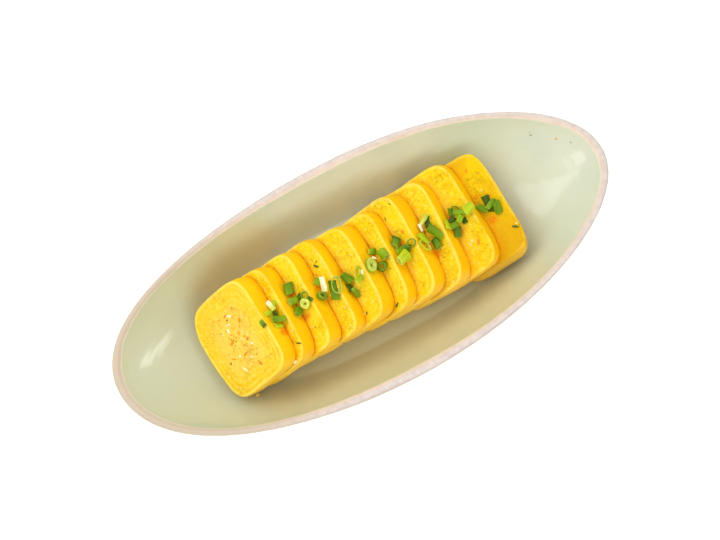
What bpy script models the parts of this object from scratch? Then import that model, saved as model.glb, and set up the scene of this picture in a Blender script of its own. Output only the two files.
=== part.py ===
"""A rolled omelette, cut in ten leaning slices and served in its long oval dish.

The roll was cut with ten slanted strokes and pushed over, so that every slice leans on the next one.
One stroke makes both the back of a slice and the face of its neighbour, so a slice is the piece of the
roll between two neighbouring cut planes. The last slice lies on the rising end of the dish.
Chopped spring onion is scattered along the top.

Metres, +Z up. The dish stands on its foot ring at Z = 0, and its long axis lies along X.
"""

import math

import bmesh
import bpy
import numpy as np
from mathutils import Euler, Vector
from mathutils.bvhtree import BVHTree

MM = 0.001
GAP = 0.3 * MM  # air kept between pieces that touch

# The dish
DISH_HALF_LENGTH = 157.3 * MM
DISH_HALF_WIDTH = 68.5 * MM
DISH_HEIGHT = 44 * MM
DISH_DEPTH = 34 * MM
FLOOR_LEVEL = DISH_HEIGHT - DISH_DEPTH
DISH_WALL = 6 * MM
LIP_RADIUS = 3.1 * MM
FLOOR_HALF_LENGTH = 85 * MM
FLOOR_HALF_WIDTH = 38 * MM
FLOOR_SQUARENESS = 3.0  # the exponent of the floor's superellipse: 2 would be an ellipse
END_SWEEP = 1.7  # how slowly the wall leaves the floor at the two ends
SIDE_SWEEP = 1.35  # and along the two sides
FOOT_HEIGHT = 4 * MM
FOOT_WIDTH = 5 * MM
FOOT_DRAFT = 1.2 * MM  # how far the foot ring widens from its tread to its root
FOOT_RECESS = 3.2 * MM  # how far the underside inside the foot ring is hollowed
HAND_THROWN = ((3, 0.0072, -74), (4, 0.0057, 120), (5, 0.0053, 9))  # waves, share of radius, degrees
DISH_SIDES = 64
OUTER_SHARES = (0.16, 0.34, 0.52, 0.7, 0.86)  # rings up the outside, as shares of the way out
LIP_DEGREES = (-25, 15, 55, 90, 125, 165)  # rings round the lip, from its outside to its inside
MID_FLOOR = 0.55  # one more ring on the flat floor, as a share of its radius
INNER_SHARES = (0.93, 0.8, 0.66, 0.52, 0.38, 0.25, 0.14, 0.06, 0.0)  # rings down the inside

# The cuts: where each plane meets the floor level, along and across, then its lean and turn in degrees
ROW_OFFSET = (-0.7 * MM, 0.4 * MM)  # the whole row lies a little off the dish's middle
CUTS = (
    (-114.0 * MM, -3.5 * MM, 43.0, 3.5),
    (-93.0 * MM, -1.0 * MM, 44.5, 1.5),
    (-77.0 * MM, 0.5 * MM, 43.5, 0.5),
    (-60.5 * MM, 0.5 * MM, 42.5, 1.0),
    (-46.5 * MM, 0.5 * MM, 41.5, 0.5),
    (-27.5 * MM, 1.5 * MM, 40.0, -1.5),
    (-14.0 * MM, 1.5 * MM, 38.0, 0.0),
    (2.5 * MM, 3.5 * MM, 33.0, -3.0),
    (16.0 * MM, 1.5 * MM, 27.5, 3.0),
    (35.5 * MM, 1.0 * MM, 25.0, 2.0),
    (53.5 * MM, 2.0 * MM, 15.5, 1.0),
)

# The slices: the roll is a little wider towards its last slice
SLICE_WIDTHS = [width * MM for width in (60, 60.5, 60.5, 62, 61, 62.5, 65, 67, 68, 67)]
SLICE_HEIGHT = 48 * MM
SLICE_SQUARENESS = 5.3  # the exponent of the slice's superellipse
SLICE_POINTS = 36
EDGE_ROUND = 0.8 * MM  # the soft edge round each cut face
SIDE_SWELL = 0.35 * MM  # how far the side swells between the two cut faces
UNEVEN = 0.5 * MM  # how far an outline strays from the superellipse
FOOT_BOW = 3.0 * MM  # how far the front slice sags below its lower corners
END_TAPER = 6.0 * MM  # how much lower the end piece is at its back than at its face
END_SWELL = 2.2 * MM  # how far the end piece's near side bulges past its face
SLICE_PROFILE = (  # rings from the cut face to the back: drawn in by, share of the thickness, plus depth
    (EDGE_ROUND, 0.0, 0.0),
    (0.0, 0.0, EDGE_ROUND),
    (-SIDE_SWELL, 0.5, 0.0),
    (0.0, 1.0, -EDGE_ROUND),
    (EDGE_ROUND, 1.0, 0.0),
)
SLIDE_STEP = 0.1 * MM

# Spring onion: along, across, kind, turn and tilt in degrees. A tilt of 0 stands a piece on its end.
ONION = (
    (-57, 6, "ring", 20, 55),
    (-59, 1, "leaf", 70, 80),
    (-56, -4, "leaf", 150, 90),
    (-43, 10, "leaf", 35, 75),
    (-44, 2, "ring", 110, 70),
    (-39, -2, "ring", 0, 10),
    (-45, -5, "leaf", 160, 85),
    (-26, 3, "leaf", 100, 90),
    (-29, -3, "ring", 40, 20),
    (-21, -4, "leaf", 15, 80),
    (-11, 0, "ring", 65, 65),
    (-5, -2, "ring", 120, 25),
    (-10, -10, "leaf", 80, 88),
    (7, 7, "leaf", 130, 80),
    (13, 2, "leaf", 30, 85),
    (5, -1, "ring", 0, 15),
    (10, -5, "ring", 85, 60),
    (23, 5, "leaf", 45, 80),
    (29, 1, "ring", 10, 35),
    (23, -5, "ring", 140, 20),
    (45, 11, "leaf", 60, 85),
    (45, 5, "ring", 30, 70),
    (46, -1, "leaf", 120, 80),
    (39, -4, "ring", 100, 20),
    (62, 8, "leaf", 20, 80),
    (69, 4, "leaf", 95, 85),
    (62, 2, "ring", 50, 60),
    (60, -5, "leaf", 75, 85),
    (79, 3, "leaf", 10, 85),
    (84, 4, "ring", 130, 70),
    (87, -1, "leaf", 60, 85),
)
ONION_RADIUS = 2.6 * MM
ONION_WALL = 0.8 * MM
RING_LENGTH = 2.6 * MM
LEAF_LENGTH = 5.0 * MM
LEAF_ARC = 150  # degrees of the tube that a split leaf keeps
ONION_SIDES = 10
LEAF_SIDES = 4
DROP_HEIGHT = 100 * MM  # where a piece starts before it is lowered


def srgb(red, green, blue):
    """A colour given as 0 to 255 on a screen, in the linear numbers that a shader takes."""
    share = np.array([red, green, blue]) / 255
    linear = np.where(share <= 0.04045, share / 12.92, ((share + 0.055) / 1.055) ** 2.4)
    return (*linear.tolist(), 1.0)


def finish(name, colour, roughness, metallic=0.0):
    """A plain Principled material."""
    material = bpy.data.materials.new(name)
    material.use_nodes = True
    shader = material.node_tree.nodes["Principled BSDF"]
    shader.inputs["Base Color"].default_value = colour
    shader.inputs["Roughness"].default_value = roughness
    shader.inputs["Metallic"].default_value = metallic
    return material


def add_object(name, points, faces, material, sharp_degrees=35):
    """Make an object from points and faces, shaded smooth with its clear edges kept sharp."""
    mesh = bpy.data.meshes.new(name)
    mesh.from_pydata([tuple(point) for point in points], [], faces)
    shell = bmesh.new()
    shell.from_mesh(mesh)
    bmesh.ops.recalc_face_normals(shell, faces=shell.faces)
    shell.to_mesh(mesh)
    shell.free()
    mesh.shade_smooth()
    mesh.set_sharp_from_angle(angle=math.radians(sharp_degrees))
    mesh.materials.append(material)
    bpy.context.scene.collection.objects.link(bpy.data.objects.new(name, mesh))


def loft(rings, first_tip, last_tip):
    """Points and faces of a closed skin over rings of equal length, drawn in to a tip at each end."""
    count = len(rings[0])
    points = [*np.vstack(rings), first_tip, last_tip]
    first, last = len(points) - 2, len(points) - 1
    faces = []
    for near in range(count):
        far = (near + 1) % count
        faces.append((first, far, near))
        for ring in range(len(rings) - 1):
            low = ring * count
            faces.append((low + near, low + far, low + count + far, low + count + near))
        top = (len(rings) - 1) * count
        faces.append((top + near, top + far, last))
    return points, faces


def superellipse(half_length, half_width, squareness, angles):
    """Points of |x / a|^n + |y / b|^n = 1, at their true polar angle."""
    along, across = np.cos(angles), np.sin(angles)
    reach = np.abs(along / half_length) ** squareness + np.abs(across / half_width) ** squareness
    radius = reach ** (-1 / squareness)
    return np.stack([radius * along, radius * across], axis=-1)


def rim_outline(angles):
    """The dish seen from above: an ellipse with the slow waves that hands leave, centred on its box."""
    wave = 1 + sum(share * np.cos(n * angles + math.radians(turn)) for n, share, turn in HAND_THROWN)
    outline = np.stack([DISH_HALF_LENGTH * np.cos(angles), DISH_HALF_WIDTH * np.sin(angles)], axis=-1)
    outline *= wave[:, None]
    return outline - (outline.max(axis=0) + outline.min(axis=0)) / 2


def dish_rings():
    """The dish's rings, from the hollow of the foot up the outside, over the lip and down to the floor.

    In the upright plane through each point of the rim, the inner wall runs from the floor's edge to the
    lip as z = depth * s ** sweep, with s the share of the way out. The outer wall is the same curve moved
    out by the wall's thickness along its normal.
    """
    angles = np.arange(DISH_SIDES) * 2 * math.pi / DISH_SIDES
    rim = rim_outline(angles)
    outward = rim / np.linalg.norm(rim, axis=1)[:, None]
    rim_radius = np.linalg.norm(rim, axis=1) - 2 * LIP_RADIUS
    bearing = np.arctan2(rim[:, 1], rim[:, 0])
    floor = superellipse(FLOOR_HALF_LENGTH, FLOOR_HALF_WIDTH, FLOOR_SQUARENESS, bearing)
    floor_radius = np.linalg.norm(floor, axis=1)
    sweep = SIDE_SWEEP + (END_SWEEP - SIDE_SWEEP) * np.cos(angles) ** 2
    wall_height = DISH_DEPTH - LIP_RADIUS

    def ring(radius, height):
        heights = np.full(DISH_SIDES, height)
        return np.column_stack([outward * radius[:, None], heights])

    def wall(share, thickness):
        radius = floor_radius + share * (rim_radius - floor_radius)
        height = FLOOR_LEVEL + wall_height * share**sweep
        rise = wall_height * sweep * share ** (sweep - 1)
        run = rim_radius - floor_radius
        slope = np.hypot(rise, run)
        return ring(radius + thickness * rise / slope, height - thickness * run / slope)

    rings = [
        ring(floor_radius - FOOT_WIDTH - FOOT_DRAFT, FOOT_RECESS),
        ring(floor_radius - FOOT_WIDTH, 0.0),
        ring(floor_radius, 0.0),
        ring(floor_radius + FOOT_DRAFT, FOOT_HEIGHT),
    ]
    rings += [wall(share, DISH_WALL) for share in OUTER_SHARES]
    for degrees in LIP_DEGREES:
        turn = math.radians(degrees)
        lip_radius = rim_radius + LIP_RADIUS * (1 + math.cos(turn))
        rings.append(ring(lip_radius, DISH_HEIGHT - LIP_RADIUS * (1 - math.sin(turn))))
    rings += [wall(share, 0.0) for share in INNER_SHARES]
    rings.append(ring(MID_FLOOR * floor_radius, FLOOR_LEVEL))
    return rings


def add_dish(material):
    """Make the dish and give back its surface, for the slices to rest on."""
    under = (0, 0, FOOT_RECESS)
    floor = (0, 0, FLOOR_LEVEL)
    points, faces = loft(dish_rings(), under, floor)
    add_object("dish", points, faces, material, sharp_degrees=50)
    return points, faces


def cut_frame(cut):
    """A cut's point on the floor level, and its directions: across the roll, up the cut, into the slice."""
    along, side, lean, turn = cut
    lean, turn = math.radians(lean), math.radians(turn)
    foot = np.array([along + ROW_OFFSET[0], side + ROW_OFFSET[1], FLOOR_LEVEL])
    forward = np.array([math.cos(turn), math.sin(turn), 0])
    across = np.array([-math.sin(turn), math.cos(turn), 0])
    upward = math.cos(lean) * forward + np.array([0, 0, math.sin(lean)])
    inward = math.sin(lean) * forward - np.array([0, 0, math.cos(lean)])
    return foot, across, upward, inward


def slice_outline(number):
    """The roll's cross-section at one slice: a superellipse that strays a little, as soft food does."""
    angles = np.arange(SLICE_POINTS) * 2 * math.pi / SLICE_POINTS
    power = 2 / SLICE_SQUARENESS
    half_width, half_height = SLICE_WIDTHS[number] / 2, SLICE_HEIGHT / 2
    along = np.sign(np.cos(angles)) * np.abs(np.cos(angles)) ** power * half_width
    up = np.sign(np.sin(angles)) * np.abs(np.sin(angles)) ** power * half_height
    stray = UNEVEN * (np.sin(2 * angles + number) + np.cos(3 * angles + 2 * number) / 2)
    outline = np.stack([along, up], axis=-1) * (1 + stray / np.hypot(along, up))[:, None]
    if number == 0:
        share = along / half_width
        low = np.clip(-up / half_height, 0, 1)
        outline[:, 1] -= FOOT_BOW * low**2 * (1 - share**2) * (1 + share / 2)
    return outline


def slice_rings(number, slide):
    """Five rings from the cut face to the back, for a slice moved up its cut plane by slide."""
    foot, across, upward, inward = cut_frame(CUTS[number])
    next_foot, _, _, next_inward = cut_frame(CUTS[number + 1])
    outline = slice_outline(number)
    end_piece = number == len(SLICE_WIDTHS) - 1

    def on_face(shrink, share):
        inset = outline * (1 - shrink / np.linalg.norm(outline, axis=1))[:, None]
        height = inset[:, 1:] + SLICE_HEIGHT / 2
        if end_piece:
            near = np.clip(-inset[:, :1] / SLICE_WIDTHS[number] * 2, 0, 1)
            inset[:, :1] -= END_SWELL * math.sin(math.pi * share) * near**2
            height = height * (1 - share * END_TAPER / SLICE_HEIGHT)
        return foot + inset[:, :1] * across + (height + slide) * upward

    def thickness(face):
        return (((next_foot - face) @ next_inward - GAP) / (inward @ next_inward))[:, None]

    rings = []
    for shrink, share, depth in SLICE_PROFILE:
        face = on_face(shrink, share)
        rings.append(face + (share * thickness(face) + depth) * inward)
    return rings


def top_below(tree, point):
    """The height of the first surface met when looking straight down at the point from high above."""
    hit = tree.ray_cast(Vector((point[0], point[1], 1)), Vector((0, 0, -1)))[0]
    return hit.z if hit else -1.0


def clearance(tree, points):
    """The smallest height of any point above the surface under it."""
    return min(point[2] - top_below(tree, point) for point in points)


def resting_slide(number, floor_tree):
    """How far up its cut plane a slice lies when its lowest point just clears the dish."""
    slide = 0.0
    while clearance(floor_tree, np.vstack(slice_rings(number, slide))) < GAP:
        slide += SLIDE_STEP
    return slide


def add_slice(number, floor_tree, material):
    """Make one slice and give back its surface, for the spring onion to rest on."""
    rings = slice_rings(number, resting_slide(number, floor_tree))
    points, faces = loft(rings, rings[0].mean(axis=0), rings[-1].mean(axis=0))
    add_object(f"slice_{number + 1:02d}", points, faces, material)
    return points, faces


def add_to_ground(ground, points, faces):
    """Add a piece's surface to the points and faces that later pieces may rest on."""
    offset = len(ground[0])
    ground[0].extend(Vector(point) for point in points)
    ground[1].extend(tuple(offset + corner for corner in face) for face in faces)


def onion_ring():
    """A short hollow tube, its axis along Z."""
    angles = np.arange(ONION_SIDES) * 2 * math.pi / ONION_SIDES
    circle = np.stack([np.cos(angles), np.sin(angles)], axis=-1)
    inside = ONION_RADIUS - ONION_WALL
    loops = []
    for radius, end in ((ONION_RADIUS, -0.5), (ONION_RADIUS, 0.5), (inside, 0.5), (inside, -0.5)):
        loops.append(np.column_stack([circle * radius, np.full(ONION_SIDES, end * RING_LENGTH)]))
    faces = []
    for near in range(ONION_SIDES):
        far = (near + 1) % ONION_SIDES
        for loop in range(4):
            low, high = loop * ONION_SIDES, (loop + 1) % 4 * ONION_SIDES
            faces.append((low + near, low + far, high + far, high + near))
    return np.vstack(loops), faces


def onion_leaf():
    """A strip of a split tube, its axis along Z and its hollow side facing down once it is laid."""
    arc = np.radians(np.linspace(-LEAF_ARC / 2, LEAF_ARC / 2, LEAF_SIDES + 1) + 90)
    bend = np.stack([np.cos(arc), np.sin(arc)], axis=-1)
    section = np.vstack([bend * ONION_RADIUS, bend[::-1] * (ONION_RADIUS - ONION_WALL)])
    count = len(section)
    ends = [np.column_stack([section, np.full(count, end * LEAF_LENGTH / 2)]) for end in (-1, 1)]
    faces = []
    for near in range(count):
        far = (near + 1) % count
        faces.append((near, far, count + far, count + near))
    for strip in range(LEAF_SIDES):
        low = (strip, strip + 1, count - 2 - strip, count - 1 - strip)
        faces.append(low[::-1])
        faces.append(tuple(count + corner for corner in low))
    return np.vstack(ends), faces


def settle(points, faces, ground):
    """Lower a piece from high above until it is GAP clear of the ground's surfaces."""
    tree = BVHTree.FromPolygons(*ground)
    lowered = points - np.array([0, 0, clearance(tree, points)])
    while tree.overlap(BVHTree.FromPolygons([Vector(point) for point in lowered], faces)):
        lowered[:, 2] += GAP / 2
    lowered[:, 2] += GAP
    return lowered


def add_onion(ground, material):
    """Every piece of spring onion, laid in turn on what is already there."""
    kinds = {"ring": onion_ring(), "leaf": onion_leaf()}
    for number, (along, across, kind, turn, tilt) in enumerate(ONION):
        points, faces = kinds[kind]
        lay = np.array(Euler((math.radians(tilt), 0, math.radians(turn))).to_matrix())
        placed = points @ lay.T + np.array([along * MM, across * MM, DROP_HEIGHT])
        rested = settle(placed, faces, ground)
        add_object(f"onion_{number + 1:02d}", rested, faces, material)
        add_to_ground(ground, rested, faces)


def main():
    for leftover in list(bpy.data.objects):
        bpy.data.objects.remove(leftover)
    glaze = finish("celadon_glaze", srgb(205, 207, 180), 0.25)
    egg = finish("egg", srgb(255, 206, 40), 0.45)
    onion = finish("spring_onion", srgb(92, 150, 42), 0.4)

    points, faces = add_dish(glaze)
    floor_tree = BVHTree.FromPolygons([Vector(point) for point in points], faces)
    ground = ([], [])
    for number in range(len(SLICE_WIDTHS)):
        add_to_ground(ground, *add_slice(number, floor_tree, egg))
    add_onion(ground, onion)


main()
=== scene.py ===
# %% [markdown]
# # A rolled omelette in its oval dish
#
# A rolled omelette is a thin sheet of egg rolled up in the pan, pressed square and cut in slices. Here
# ten slices lean on one another in a long stoneware dish, with chopped spring onion along their tops.
#
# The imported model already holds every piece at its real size. This lesson keeps those sizes and makes
# what a cook and a potter would see: the rolled layers, the pores, the thick glaze and the bare clay lip.

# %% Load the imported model
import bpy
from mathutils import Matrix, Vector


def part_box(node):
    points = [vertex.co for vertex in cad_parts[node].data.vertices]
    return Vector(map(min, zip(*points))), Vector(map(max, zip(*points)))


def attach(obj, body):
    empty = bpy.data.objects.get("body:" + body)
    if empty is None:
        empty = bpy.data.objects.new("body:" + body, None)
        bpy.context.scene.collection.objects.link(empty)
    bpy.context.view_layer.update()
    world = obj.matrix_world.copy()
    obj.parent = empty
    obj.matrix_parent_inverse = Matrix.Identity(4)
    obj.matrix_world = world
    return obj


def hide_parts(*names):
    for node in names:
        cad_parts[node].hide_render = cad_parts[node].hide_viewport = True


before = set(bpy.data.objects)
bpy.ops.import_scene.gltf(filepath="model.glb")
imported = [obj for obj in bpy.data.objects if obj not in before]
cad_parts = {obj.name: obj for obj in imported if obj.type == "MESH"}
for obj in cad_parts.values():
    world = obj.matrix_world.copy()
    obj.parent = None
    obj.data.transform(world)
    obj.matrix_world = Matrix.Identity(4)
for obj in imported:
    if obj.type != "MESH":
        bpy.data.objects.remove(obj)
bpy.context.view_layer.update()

import itertools
import math

import bpy
import numpy as np
from mathutils import Matrix, Vector
from mathutils.bvhtree import BVHTree

MM = 0.001

# %% [markdown]
# ## The camera
#
# The dish is seen almost from straight above, turned so that its long axis climbs from lower left to
# upper right. A camera is placed by three directions: `right`, `back` (from the dish towards the lens)
# and `up`, which is the cross product of the other two. A long lens from a metre away keeps the two
# long sides of the rim nearly parallel, as the eye sees a dish on a table.

# %% Camera
AZIMUTH = math.radians(-27.8)
ELEVATION = math.radians(79.0)
DISTANCE = 0.988
LENS = 85.9
AIM_LEFT = 3.05 * MM  # the lens points this far to the left of the dish's middle

right = np.array([math.cos(AZIMUTH), math.sin(AZIMUTH), 0.0])
away = np.array([-right[1], right[0], 0.0])
back = -math.cos(ELEVATION) * away + np.array([0.0, 0.0, math.sin(ELEVATION)])
rim_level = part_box("dish")[1][2]
aim = np.array([0.0, 0.0, rim_level]) - AIM_LEFT * right


def stand(target, outward, distance, side):
    """A matrix at target + distance * outward whose own +Z is outward and whose +X is side."""
    x, z = np.array(side), np.array(outward) / np.linalg.norm(outward)
    y = np.cross(z, x)
    y /= np.linalg.norm(y)
    x = np.cross(y, z)
    place = np.eye(4)
    place[:3, :3] = np.stack([x, y, z], axis=-1)
    place[:3, 3] = target + distance * z
    return Matrix(place.tolist())


def put_in_scene(name, data):
    """A new object with this data, linked into the scene."""
    thing = bpy.data.objects.new(name, data)
    bpy.context.scene.collection.objects.link(thing)
    return thing


camera = put_in_scene("camera", bpy.data.cameras.new("camera"))
camera.data.lens = LENS
camera.data.clip_start = 0.05
camera.matrix_world = stand(aim, back, DISTANCE, right)
bpy.context.scene.camera = camera
print("camera at", [round(value, 3) for value in camera.matrix_world.translation])

# %% [markdown]
# ## The light
#
# Food like this is lit softly: a large softbox on the left, weaker ones in front and behind to open
# the shadows, and white walls all round a white table. Two narrow strips add little more than a
# reflection in the glaze at each end of the dish. A softbox is an area light. Its brightness is what a
# glaze mirrors, and its size times its brightness is what lights the food, so the two are chosen
# apart: Blender's area light takes watts, and watts = brightness * pi * area.

# %% Softboxes and the white room
ROOM_BRIGHTNESS = 0.72
SOFTBOXES = (  # name, bearing and elevation in degrees, distance, width, height, brightness
    ("softbox_left", 160, 54, 1.3, 1.1, 1.0, 2.2),
    ("softbox_front", 285, 35, 1.3, 1.0, 0.6, 1.9),
    ("softbox_behind", 90, 40, 1.3, 1.0, 0.6, 1.3),
    ("strip_left", 203, 32, 1.3, 0.5, 0.2, 2.9),
    ("strip_right", 343, 31, 1.3, 1.8, 0.14, 5.0),
)


def add_softbox(name, bearing, elevation, distance, width, height, brightness):
    """An area light that faces the dish, its bearing counted from the picture's right."""
    turn, rise = math.radians(bearing), math.radians(elevation)
    level = math.cos(turn) * right + math.sin(turn) * away
    outward = math.cos(rise) * level + np.array([0.0, 0.0, math.sin(rise)])
    light = bpy.data.lights.new(name, "AREA")
    light.shape = "RECTANGLE"
    light.size, light.size_y = width, height
    light.energy = brightness * math.pi * width * height
    lamp = put_in_scene(name, light)
    lamp.matrix_world = stand(aim, outward, distance, np.cross([0.0, 0.0, 1.0], outward))
    print(name, round(light.energy, 2), "W")


for softbox in SOFTBOXES:
    add_softbox(*softbox)

world = bpy.data.worlds.new("white_room")
world.use_nodes = True
background = world.node_tree.nodes["Background"].inputs
background["Color"].default_value = (1.0, 0.99, 0.97, 1.0)
background["Strength"].default_value = ROOM_BRIGHTNESS
bpy.context.scene.world = world
bpy.context.scene.view_settings.view_transform = "Standard"

# %% The white table
FLOOR_SIDE = 8.0
FLOOR_GLOW = 0.42  # a lit white table has hardly any shadow on it

half = FLOOR_SIDE / 2
corners = [(-half, -half, 0), (half, -half, 0), (half, half, 0), (-half, half, 0)]
table = bpy.data.meshes.new("table")
table.from_pydata(corners, [], [(0, 1, 2, 3)])
white = bpy.data.materials.new("white_table")
white.use_nodes = True
sockets = white.node_tree.nodes["Principled BSDF"].inputs
sockets["Base Color"].default_value = (0.9, 0.9, 0.9, 1.0)
sockets["Roughness"].default_value = 0.9
sockets["Emission Color"].default_value = (1.0, 1.0, 1.0, 1.0)
sockets["Emission Strength"].default_value = FLOOR_GLOW
table.materials.append(white)
floor_piece = put_in_scene("table", table)

# %% [markdown]
# ## Colours and shader sums
#
# Colours are easiest to choose as the numbers from 0 to 255 that a screen shows, but a shader wants
# linear light, so `srgb` converts them. Patterns are sums of simple masks. Writing `1 - mask * 2` is
# clearer than placing Math nodes by hand, so the class `Wire` wraps a socket and adds the Math nodes
# whenever Python's own signs are used on it. `Graph.add` makes any other node, and `Graph.coats` lays
# one thin colour after another over the last, as a glaze or a browned skin is built up.


# %% Colour
def srgb(red, green, blue):
    """A screen colour from 0 to 255 as linear red, green, blue and alpha."""
    share = np.array([red, green, blue]) / 255
    linear = np.where(share <= 0.04045, share / 12.92, ((share + 0.055) / 1.055) ** 2.4)
    return (*linear.tolist(), 1.0)


# %% Wires and graphs
class Wire:
    """A socket that takes part in sums: each sign adds one Math node to its graph."""

    def __init__(self, graph, socket):
        self.graph = graph
        self.socket = socket

    def sum(self, operation, *values):
        """One Math node that works on these numbers or wires."""
        return self.graph.add("ShaderNodeMath", {"operation": operation}, dict(enumerate(values)))

    def __add__(self, other):
        return self.sum("ADD", self, other)

    def __radd__(self, other):
        return self.sum("ADD", other, self)

    def __sub__(self, other):
        return self.sum("SUBTRACT", self, other)

    def __rsub__(self, other):
        return self.sum("SUBTRACT", other, self)

    def __mul__(self, other):
        return self.sum("MULTIPLY", self, other)

    def __truediv__(self, other):
        return self.sum("DIVIDE", self, other)

    def __abs__(self):
        return self.sum("ABSOLUTE", self)

    def at_least(self, other):
        """The larger of this wire and another value."""
        return self.sum("MAXIMUM", self, other)

    def between(self, low, high):
        """0 below low, 1 above high, and a smooth step from one to the other."""
        settings = {"interpolation_type": "SMOOTHSTEP", "clamp": True}
        return self.graph.add("ShaderNodeMapRange", settings, {0: self, 1: low, 2: high, 3: 0.0, 4: 1.0})


class Graph:
    """A material under construction, with its Principled shader at hand as graph.shader."""

    def __init__(self, name):
        self.material = bpy.data.materials.new(name)
        self.material.use_nodes = True
        self.tree = self.material.node_tree
        self.shader = self.tree.nodes["Principled BSDF"]

    def join(self, value, socket):
        """Link a wire to a socket, or set the socket to a plain number or colour."""
        if isinstance(value, Wire):
            self.tree.links.new(value.socket, socket)
        else:
            socket.default_value = value

    def add(self, kind, settings, inputs, output=0):
        """Any node: its settings first, then its sockets by name or number. Gives back one output."""
        node = self.tree.nodes.new(kind)
        for name, value in settings.items():
            setattr(node, name, value)
        for name, value in inputs.items():
            self.join(value, node.inputs[name])
        return Wire(self, node.outputs[output])

    def finish(self, **sockets):
        """Set or link the Principled shader's sockets, with _ for a space in their names."""
        for name, value in sockets.items():
            self.join(value, self.shader.inputs[name.replace("_", " ")])

    def place(self):
        """Where a point lies, in metres, in the frame that every piece shares."""
        return self.add("ShaderNodeTexCoord", {}, {}, "Object")

    def attribute(self, name):
        """A number that the mesh carries at each point."""
        return self.add("ShaderNodeAttribute", {"attribute_name": name}, {}, "Fac")

    def noise(self, place, size, detail=3.0, distortion=0.0):
        """Cloudy noise from 0 to 1 with lumps about this size in metres."""
        sockets = {"Vector": place, "Scale": 0.5 / size, "Detail": detail, "Distortion": distortion}
        return self.add("ShaderNodeTexNoise", {}, sockets)

    def axis(self, vector, number):
        """The x, y or z of a vector, for number 0, 1 or 2."""
        return self.add("ShaderNodeSeparateXYZ", {}, {0: vector}, number)

    def cells(self, place, size):
        """The distance to the nearest of scattered points, in cells of this size in metres."""
        return self.add("ShaderNodeTexVoronoi", {}, {"Vector": place, "Scale": 1 / size})

    def mix(self, share, first, second):
        """The first colour where share is 0 and the second where it is 1."""
        settings = {"data_type": "RGBA", "clamp_factor": True}
        return self.add("ShaderNodeMix", settings, {0: share, 6: first, 7: second}, 2)

    def coats(self, colour, *layers):
        """A colour under thin coats, each given by its share and its red, green and blue."""
        for share, *paint in layers:
            colour = self.mix(share, colour, srgb(*paint))
        return colour

    def bump(self, height, depth):
        """A normal bent by height, where a height of 1 stands this many metres proud."""
        return self.add("ShaderNodeBump", {}, {"Height": height, "Distance": depth, "Strength": 1.0})


# %% [markdown]
# ## Surfaces from grids
#
# Every new piece is a grid of points: rows run along the piece and columns run round it. `grid_mesh`
# turns such an array into a closed mesh. It joins the last column to the first, draws the first and the
# last row together to a pole, and stores numbers on the points for the materials to read.


# %% Grid helpers
def grid_faces(rows, columns):
    """Corner numbers of the quads between neighbouring rows of a grid that closes on itself."""
    row, column = np.meshgrid(np.arange(rows - 1), np.arange(columns), indexing="ij")
    beside = (column + 1) % columns
    corners = [row * columns + column, row * columns + beside]
    corners += [(row + 1) * columns + beside, (row + 1) * columns + column]
    return np.stack(corners, axis=-1).reshape(-1, 4)


def cap_faces(first, count, pole, flip):
    """Triangles from a ring of points to its pole."""
    near = first + np.arange(count)
    far = first + (np.arange(count) + 1) % count
    ends = (far, near) if flip else (near, far)
    return np.stack([np.full(count, pole), *ends], axis=-1)


def fill_mesh(mesh, points, quads, triangles):
    """Put whole arrays of points, quads and triangles into a mesh with foreach_set."""
    loops = np.concatenate([quads.ravel(), triangles.ravel()])
    sizes = np.concatenate([np.full(len(quads), 4), np.full(len(triangles), 3)])
    mesh.vertices.add(len(points))
    mesh.vertices.foreach_set("co", points.astype(np.float32).ravel())
    mesh.loops.add(len(loops))
    mesh.loops.foreach_set("vertex_index", loops.astype(np.int32))
    mesh.polygons.add(len(sizes))
    mesh.polygons.foreach_set("loop_start", (np.cumsum(sizes) - sizes).astype(np.int32))
    mesh.update(calc_edges=True)
    mesh.validate()
    mesh.shade_smooth()


def add_piece(name, points, quads, triangles, numbers, material):
    """A new object at the origin, its place in its mesh, with numbers stored on its points."""
    mesh = bpy.data.meshes.new(name)
    fill_mesh(mesh, points, quads, triangles)
    for title, values in numbers.items():
        kind, field = ("FLOAT_VECTOR", "vector") if np.ndim(values) == 2 else ("FLOAT", "value")
        layer = mesh.attributes.new(title, kind, "POINT")
        layer.data.foreach_set(field, np.asarray(values, dtype=np.float32).ravel())
    mesh.materials.append(material)
    piece = put_in_scene(name, mesh)
    print(name, len(points), "points,", 2 * len(quads) + len(triangles), "triangles")
    return piece


def closed_grid(grid):
    """Points, quads and triangles of a grid of rings closed by a pole at each end.

    The rings run so that the quads face outwards when the first ring is the lower or front one.
    """
    rows, columns = grid.shape[:2]
    points = np.vstack([grid.reshape(-1, 3), grid[0].mean(axis=0), grid[-1].mean(axis=0)])
    first_pole, last_pole = rows * columns, rows * columns + 1
    front = cap_faces(0, columns, first_pole, True)
    behind = cap_faces((rows - 1) * columns, columns, last_pole, False)
    return points, grid_faces(rows, columns), np.vstack([front, behind])


def with_poles(values):
    """A number or vector for each grid point, and for the two poles that closed_grid adds."""
    each = values.reshape(-1, *values.shape[2:])
    return np.concatenate([each, values[:1].mean(axis=1), values[-1:].mean(axis=1)])


# %% [markdown]
# ## Lumps
#
# Nothing made by hand is quite even. `lumps` gives slow random swells: random numbers sit on the
# corners of a lattice of cubes, and every point takes the smooth blend of the eight round it. It is
# worked out from the points' own places, so neighbouring pieces agree and each run gives the same.


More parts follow.
